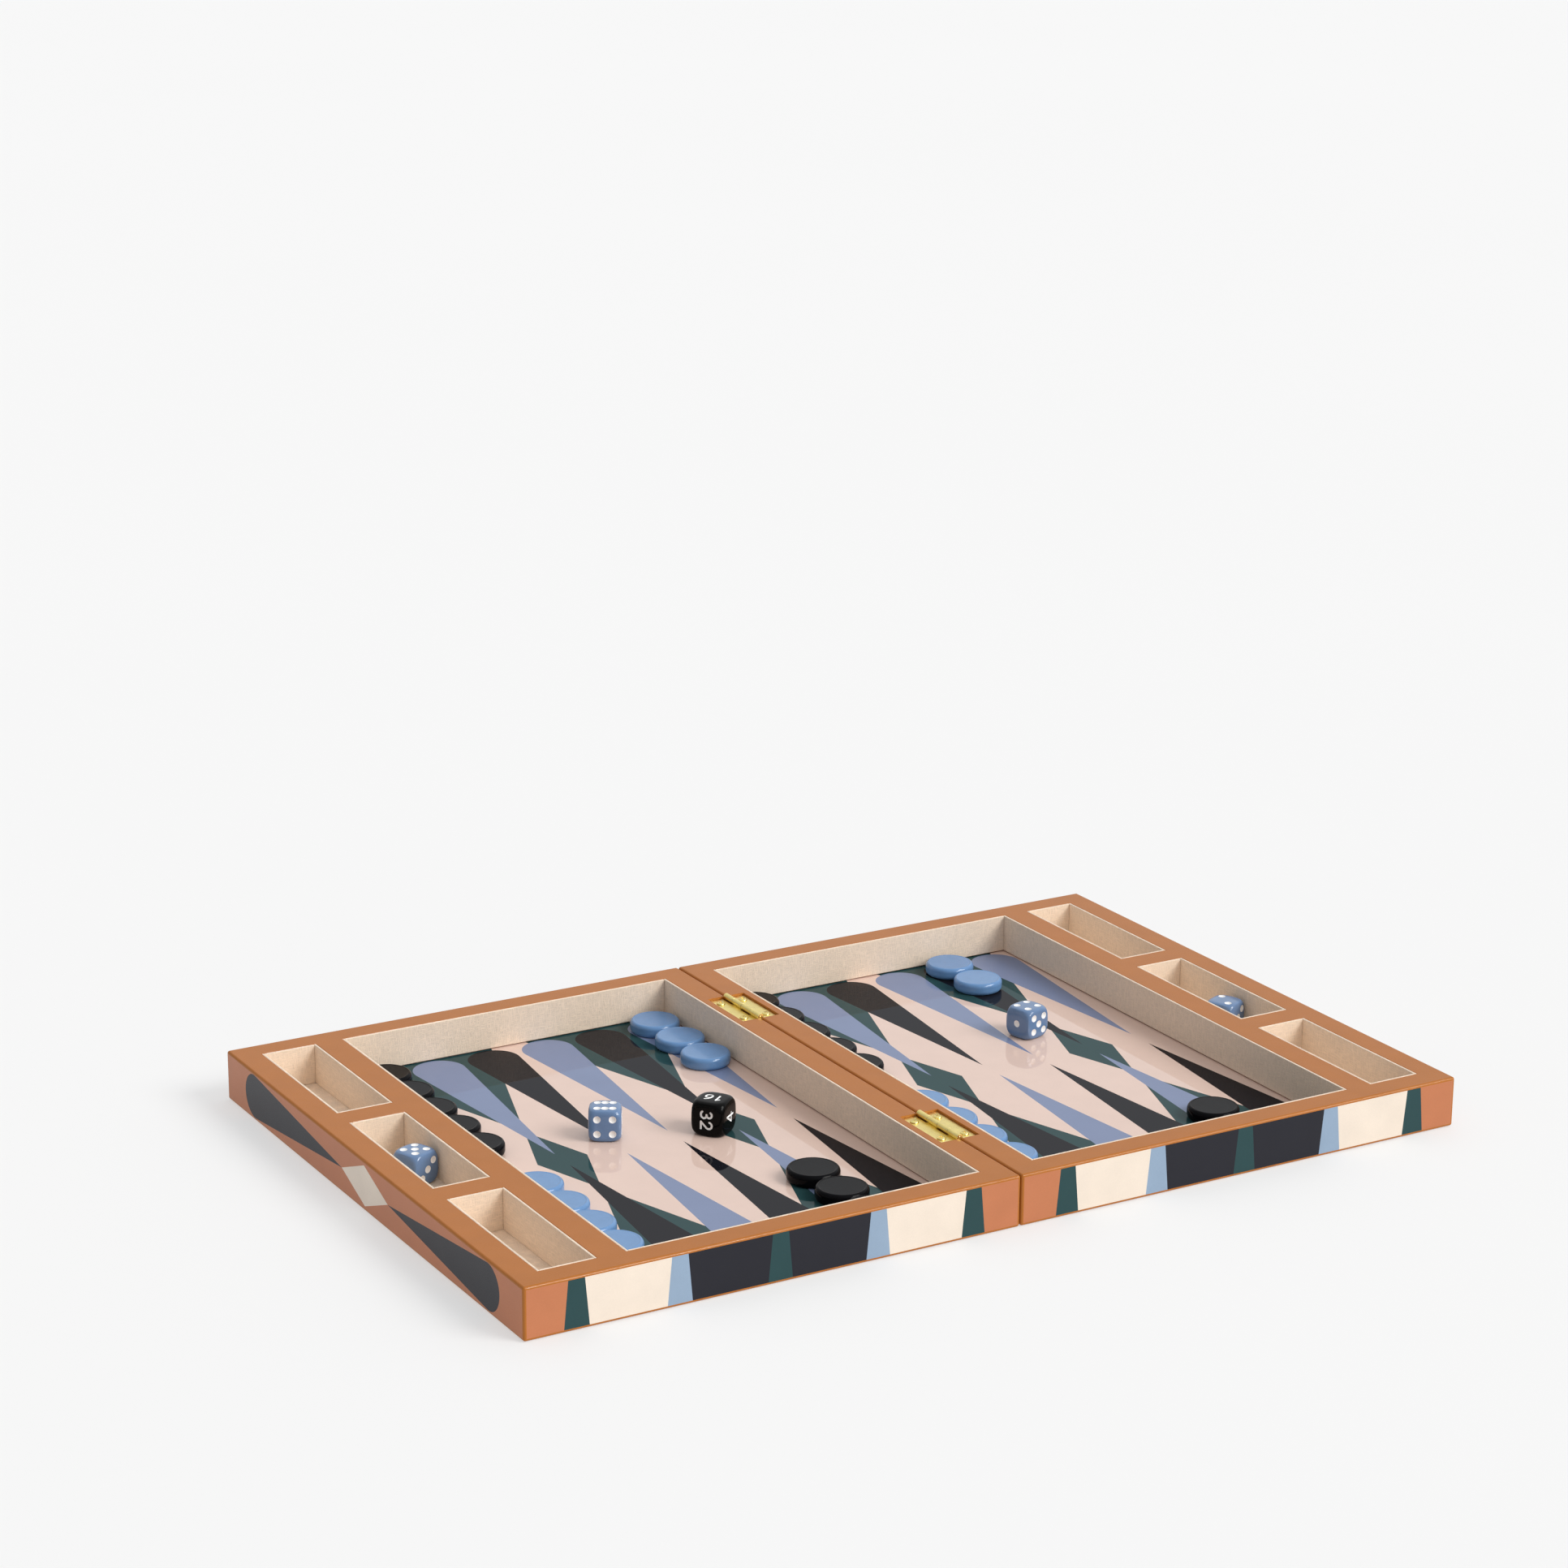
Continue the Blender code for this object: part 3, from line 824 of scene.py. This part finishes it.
def hinge_pin(where):
    """A drawn pin with domed ends."""
    node = f"{where}_hinge_pin"
    low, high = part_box(node)
    length = high.y - low.y
    dome, points = 0.0003, 5
    profile = []
    for i in range(points + 1):
        angle = math.pi / 2 * i / points
        profile.append(
            (PIN_RADIUS * math.sin(angle), length / 2 - dome + dome * math.cos(angle))
        )
    profile += [(radius, -height) for radius, height in reversed(profile)]
    bm = turned(profile, 32)
    turn = Matrix.Rotation(math.pi / 2, 4, "X")
    bmesh.ops.transform(bm, matrix=Matrix.Translation((low + high) / 2) @ turn, verts=bm.verts)
    obj = to_object(f"{node}_finished", bm, [BRASS], 50)
    stand_in(obj, node)


def screw_profile(head_radius, head_height, shank_length):
    """A round head on a pointed shank, from the head's top down. The seat is at height 0."""
    shank_radius, under_head, points = 0.0010, -0.00008, 8
    profile = []
    for i in range(points + 1):
        angle = math.pi / 2 * i / points
        profile.append((head_radius * math.sin(angle), head_height * math.cos(angle)))
    return profile + [
        (head_radius - 0.0001, under_head),
        (shank_radius, under_head),
        (shank_radius, -shank_length + 2 * shank_radius),
        (0, -shank_length),
    ]


def screw(where, label, n):
    """A round-head wood screw with a cross recess."""
    node = f"{where}_hinge_{label}_screw_{n}"
    low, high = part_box(node)
    middle = (low + high) / 2
    head_radius, head_height = (high.x - low.x) / 2, 0.0009
    seat = high.z - head_height
    profile = screw_profile(head_radius, head_height, seat - low.z)
    obj = to_object(f"{node}_finished", turned(profile, 40), [BRASS])
    slot_length, slot_width, slot_depth = 0.0022, 0.00036, 0.00045
    slots = []
    for along_x, along_y in ((slot_length, slot_width), (slot_width, slot_length)):
        corner = Vector((along_x / 2, along_y / 2, 2 * OVERRUN))
        slots.append(block((-corner.x, -corner.y, head_height - slot_depth), corner))
    combine(obj, "DIFFERENCE", slots)
    shade(obj.data, 35)
    turn = {"front": 25, "back": 70}[where] + 50 * n + (15 if label == "left" else 0)
    obj.location = (middle.x, middle.y, seat)
    obj.rotation_euler = (0, 0, math.radians(turn))
    stand_in(obj, node)


# Loose pieces


def checker_profile(radius, height):
    """Shallow dished faces with a fine lip, rounded shoulders and a nearly upright side."""
    shoulder, drop_height, points = 0.0016, 0.0021, 12
    dish, lip = 0.00015, 0.0003
    flat = radius - shoulder - lip
    profile = [(0, height - dish), (flat - 0.0001, height - dish), (flat, height - dish * 0.8)]
    for i in range(points + 1):
        angle = math.pi / 2 * i / points
        profile.append(
            (
                radius - shoulder + shoulder * math.sin(angle),
                height - drop_height + drop_height * math.cos(angle),
            )
        )
    profile += [(r, height - z) for r, z in reversed(profile)]
    return profile


def checkers():
    """All thirty, from one mesh for each colour, each turned a little further than the last."""
    low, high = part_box("black_checker_01")
    radius = (high.y - low.y) / 2
    height = high.z - FIELD_TOP - FIT
    meshes = {}
    for colour, material in (("black", BLACK_CHECKER), ("blue", BLUE_CHECKER)):
        bm = turned(checker_profile(radius, height), 72)
        maker = to_object(colour + "_checker_maker", bm, [material])
        meshes[colour] = maker.data
        bpy.data.objects.remove(maker)
    golden_angle = math.radians(137.5)
    names = sorted(name for name in nodes if "_checker_" in name)
    for n, node in enumerate(names):
        low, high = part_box(node)
        colour = node.split("_")[0]
        obj = bpy.data.objects.new(f"{node}_finished", meshes[colour])
        bpy.context.scene.collection.objects.link(obj)
        middle = (low + high) / 2
        obj.location = (middle.x, middle.y, FIELD_TOP + FIT)
        obj.rotation_euler = (0, 0, n * golden_angle)
        weigh_normals(obj)
        stand_in(obj, node)


# A cube's faces: outward normal, and the across and up directions of what is drawn on it
FACES = {
    "top": ((0, 0, 1), (1, 0, 0), (0, 1, 0)),
    "bottom": ((0, 0, -1), (1, 0, 0), (0, -1, 0)),
    "front": ((0, -1, 0), (1, 0, 0), (0, 0, 1)),
    "back": ((0, 1, 0), (-1, 0, 0), (0, 0, 1)),
    "right": ((1, 0, 0), (0, 1, 0), (0, 0, 1)),
    "left": ((-1, 0, 0), (0, -1, 0), (0, 0, 1)),
}
PIPS = {
    1: [(0, 0)],
    2: [(-1, 1), (1, -1)],
    3: [(-1, -1), (0, 0), (1, 1)],
    4: [(-1, -1), (1, -1), (-1, 1), (1, 1)],
    5: [(-1, -1), (1, -1), (0, 0), (-1, 1), (1, 1)],
    6: [(-1, -1), (0, -1), (1, -1), (-1, 1), (0, 1), (1, 1)],
}
# A cube's shape: its edges' sharpness, the ball that cuts its corners, and how sharply the two meet
EDGE_POWER = 12
BALL_SHARE = 1.45
BLEND_POWER = 20


def cube_body(name, side, material):
    """A tumbled cube: nearly flat faces, softened edges, and corners cut by a ball."""
    cells = 22
    bm = bmesh.new()
    for normal, across, up in FACES.values():
        normal, across, up = Vector(normal), Vector(across), Vector(up)
        grid = []
        for i in range(cells + 1):
            u = math.tan(math.pi / 4 * (2 * i / cells - 1))
            row = []
            for j in range(cells + 1):
                v = math.tan(math.pi / 4 * (2 * j / cells - 1))
                spot = normal + u * across + v * up
                cube = sum(abs(c) ** EDGE_POWER for c in spot) ** (1 / EDGE_POWER)
                ball = spot.length / BALL_SHARE
                reach = (cube**BLEND_POWER + ball**BLEND_POWER) ** (1 / BLEND_POWER)
                row.append(bm.verts.new(spot * (side / 2) / reach))
            grid.append(row)
        for i in range(cells):
            for j in range(cells):
                bm.faces.new((grid[i][j], grid[i + 1][j], grid[i + 1][j + 1], grid[i][j + 1]))
    bmesh.ops.remove_doubles(bm, verts=bm.verts, dist=1e-6)
    bmesh.ops.recalc_face_normals(bm, faces=bm.faces)
    return to_object(name, bm, [material], 60)


def settle_cube(obj, node, turn):
    """Stands a cut cube on the board or a tray's floor, turned by an angle in degrees."""
    low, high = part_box(node)
    middle = (low + high) / 2
    side = high.z - low.z
    shade(obj.data, 20)
    obj.location = (middle.x, middle.y, FIELD_TOP + FIT + side / 2)
    obj.rotation_euler = (0, 0, math.radians(turn))
    stand_in(obj, node)


def die(node, turn, numbers):
    """A die with white pips in shallow round hollows. numbers are in the order of FACES."""
    low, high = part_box(node)
    side = high.z - low.z
    pip_radius, pip_depth, offset = 0.00175, 0.00055, 0.235 * side
    ball = (pip_radius**2 + pip_depth**2) / (2 * pip_depth)
    obj = cube_body(f"{node}_finished", side, BLUE_DIE)
    balls = bmesh.new()
    for number, (normal, across, up) in zip(numbers, FACES.values()):
        for u, v in PIPS[number]:
            spot = (
                Vector(normal) * (side / 2 + ball - pip_depth)
                + Vector(across) * u * offset
                + Vector(up) * v * offset
            )
            place = Matrix.Translation(spot) @ aim(Vector(normal))
            bmesh.ops.create_uvsphere(
                balls, u_segments=28, v_segments=36, radius=ball, matrix=place
            )
    combine(obj, "DIFFERENCE", [balls], WHITE)
    settle_cube(obj, node, turn)


def arc(x, y, rx, ry, start, stop, points=20):
    """Points on an ellipse's arc, angles in degrees."""
    angles = [math.radians(start + (stop - start) * i / points) for i in range(points + 1)]
    return [(x + rx * math.cos(a), y + ry * math.sin(a)) for a in angles]


# Strokes of plain numerals, one high and DIGIT_WIDTH wide
DIGIT_WIDTH = 0.64
DIGITS = {
    "1": [[(0.38, 0), (0.38, 1)], [(0.38, 1), (0.12, 0.80)]],
    "2": [
        arc(0.31, 0.70, 0.29, 0.30, 165, -38) + [(0.02, 0.0)],
        [(0.02, 0.0), (0.64, 0.0)],
    ],
    "3": [arc(0.29, 0.755, 0.25, 0.245, 150, -90), arc(0.29, 0.265, 0.31, 0.265, 90, -150)],
    "4": [[(0.46, 0), (0.46, 1)], [(0.46, 1), (0.0, 0.30)], [(0.0, 0.30), (0.64, 0.30)]],
    "6": [arc(0.62, 0.31, 0.60, 0.69, 180, 104), arc(0.32, 0.31, 0.30, 0.31, 180, 540, 32)],
    "8": [arc(0.32, 0.77, 0.24, 0.23, 0, 360, 32), arc(0.32, 0.27, 0.30, 0.27, 0, 360, 32)],
}


def groove_rings(points, closed, radius):
    """The (middle, direction, radius) of each ring along a line, its open ends rounded."""
    count = len(points)
    rings = []
    for i, point in enumerate(points):
        before = points[(i - 1) % count] if closed or i else point
        after = points[(i + 1) % count] if closed or i < count - 1 else point
        rings.append((point, (after - before).normalized(), radius))
    if closed:
        return rings
    first, last = rings[0], rings[-1]
    for step in (0.45, 0.8, 0.98):
        shrunk = radius * math.sqrt(1 - step**2)
        rings.insert(0, (first[0] - first[1] * radius * step, first[1], shrunk))
        rings.append((last[0] + last[1] * radius * step, last[1], shrunk))
    return rings


def groove(points, normal, radius, segments=12):
    """A round tube along flat points, with round ends, or closed where the ends meet."""
    points = [Vector(point) for point in points]
    normal = Vector(normal)
    closed = (points[0] - points[-1]).length < 1e-6
    if closed:
        points = points[:-1]
    turns = [2 * math.pi * k / segments for k in range(segments)]
    bm = bmesh.new()
    loops = []
    for point, along, size in groove_rings(points, closed, radius):
        across = along.cross(normal)
        spots = [
            point + size * math.cos(turn) * across + size * math.sin(turn) * normal
            for turn in turns
        ]
        loops.append([bm.verts.new(spot) for spot in spots])
    pairs = list(zip(loops, loops[1:]))
    if closed:
        pairs.append((loops[-1], loops[0]))
    else:
        bm.faces.new(loops[0])
        bm.faces.new(loops[-1])
    for ring, following in pairs:
        for k in range(segments):
            j = (k + 1) % segments
            bm.faces.new((ring[k], ring[j], following[j], following[k]))
    bmesh.ops.recalc_face_normals(bm, faces=bm.faces)
    return bm


# The doubling cube's numbers: outward normal, the way each reads, and the way its digits stand
CUBE_NUMBERS = (
    ("16", (0, 0, 1), (-1, 0, 0), (0, -1, 0)),
    ("32", (0, -1, 0), (0, 0, -1), (1, 0, 0)),
    ("4", (1, 0, 0), (0, 0, 1), (0, -1, 0)),
    ("64", (0, 1, 0), (-1, 0, 0), (0, 0, 1)),
    ("8", (-1, 0, 0), (0, -1, 0), (0, 0, 1)),
    ("2", (0, 0, -1), (1, 0, 0), (0, -1, 0)),
)
STROKE_RADIUS = 0.00048
DIGIT_SPACING = 0.28  # between digits, as DIGIT_WIDTH is given


def number_cuts(side, text, normal, reads, stands):
    """Cutters for one number in the middle of a face."""
    tall = side * (0.33 if len(text) == 2 else 0.40)
    width = len(text) * DIGIT_WIDTH + (len(text) - 1) * DIGIT_SPACING
    cuts = []
    for n, digit in enumerate(text):
        left = n * (DIGIT_WIDTH + DIGIT_SPACING) - width / 2
        for strokes in DIGITS[digit]:
            path = [
                Vector(normal) * side / 2
                + Vector(reads) * (left + x) * tall
                + Vector(stands) * (y - 0.5) * tall
                for x, y in strokes
            ]
            cuts.append(groove(path, normal, STROKE_RADIUS))
    return cuts


def doubling_cube(node, turn):
    """A black cube whose numbers are cut in and filled with white."""
    low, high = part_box(node)
    side = high.z - low.z
    obj = cube_body(f"{node}_finished", side, BLACK_CUBE)
    cuts = []
    for number in CUBE_NUMBERS:
        cuts += number_cuts(side, *number)
    combine(obj, "DIFFERENCE", cuts, WHITE)
    settle_cube(obj, node, turn)


# Floor, light and camera


def floor():
    """A pale floor that gives off some light, so that shadows on it stay faint."""
    bm = bmesh.new()
    bmesh.ops.create_grid(bm, x_segments=8, y_segments=8, size=40)
    look = Look("pale_floor")
    cloud = look.noise(0.8, 2.0)
    look.finish(
        Base_Color=look.mix(cloud, (0.395, 0.395, 0.395), (0.405, 0.405, 0.405)),
        Roughness=0.9,
        Specular_IOR_Level=0.1,
        Emission_Color=(1.0, 1.0, 1.0),
        Emission_Strength=0.50,
    )
    obj = to_object("floor", bm, [look.material])
    obj.location = (0, 0, -0.0002)


def lamp(name, light, towards, distance=0.0):
    """Places a light along a direction from the origin, shining back along it."""
    towards = Vector(towards)
    obj = bpy.data.objects.new(name, light)
    bpy.context.scene.collection.objects.link(obj)
    obj.location = distance * towards
    obj.rotation_mode = "QUATERNION"
    obj.rotation_quaternion = towards.to_track_quat("Z", "Y")
    return obj


def key_light():
    """A wide soft key from the front right."""
    light = bpy.data.lights.new("key", "SUN")
    light.energy = 1.95
    light.angle = math.radians(30)
    light.color = (1.0, 0.985, 0.96)
    lamp("key", light, (0.50, -0.62, 0.60))


def softbox():
    """A small panel low in front, which only shapes the highlights."""
    light = bpy.data.lights.new("softbox", "AREA")
    light.shape = "RECTANGLE"
    light.size, light.size_y = 0.55, 0.25
    light.energy = 10
    panel = lamp("softbox", light, (0.25, -0.87, 0.42), 2.0)
    panel.visible_diffuse = False


def sky():
    """An even white sky that is dimmer on the left."""
    world = bpy.data.worlds.new("studio")
    bpy.context.scene.world = world
    world.use_nodes = True
    tree = world.node_tree
    background = tree.nodes["Background"]
    coordinates = tree.nodes.new("ShaderNodeTexCoord")
    lean = tree.nodes.new("ShaderNodeVectorMath")
    lean.operation = "DOT_PRODUCT"
    lean.inputs[1].default_value = Vector((0.95, 0.0, 0.30)).normalized()
    level = tree.nodes.new("ShaderNodeMapRange")
    level.interpolation_type = "SMOOTHSTEP"
    level.inputs["From Min"].default_value = -0.9
    level.inputs["From Max"].default_value = 0.6
    level.inputs["To Min"].default_value = 0.34
    level.inputs["To Max"].default_value = 0.85
    tree.links.new(coordinates.outputs["Generated"], lean.inputs[0])
    tree.links.new(lean.outputs["Value"], level.inputs["Value"])
    tree.links.new(level.outputs["Result"], background.inputs["Strength"])
    background.inputs["Color"].default_value = (0.98, 0.99, 1.0, 1.0)


def camera():
    """A long lens from the front left, a little above the case."""
    data = bpy.data.cameras.new("camera")
    data.sensor_width = 36
    data.lens = 89.07
    data.clip_start, data.clip_end = 0.05, 200
    obj = bpy.data.objects.new("camera", data)
    bpy.context.scene.collection.objects.link(obj)
    heading, fall, roll = (math.radians(angle) for angle in (-30.449, 16.793, 0.445))
    turn = (
        Matrix.Rotation(heading, 4, "Z")
        @ Matrix.Rotation(math.pi / 2 - fall, 4, "X")
        @ Matrix.Rotation(roll, 4, "Z")
    )
    obj.matrix_world = Matrix.Translation((-0.87662, -1.44038, 0.66815)) @ turn
    bpy.context.scene.camera = obj


camera()
key_light()
softbox()
sky()
floor()
for label, side in SIDES:
    case_frame(label, side)
    bottom_panel(label, side)
    playing_field(label, side)
    linings(label, side)
for where in ("front", "back"):
    hinge_pin(where)
    for label, side in SIDES:
        hinge_leaf(where, label, side)
        for n in (1, 2):
            screw(where, label, n)
checkers()
# Each die's turn in degrees, then its numbers on top, bottom, front, back, right and left
die("die_1", -68.7, (5, 2, 1, 6, 3, 4))
die("die_2", -29.6, (6, 1, 4, 3, 5, 2))
die("die_3", -75.0, (4, 3, 1, 6, 5, 2))
die("die_4", -64.4, (2, 5, 6, 1, 3, 4))
doubling_cube("doubling_cube", -53.1)

bpy.context.scene.view_settings.view_transform = "Standard"
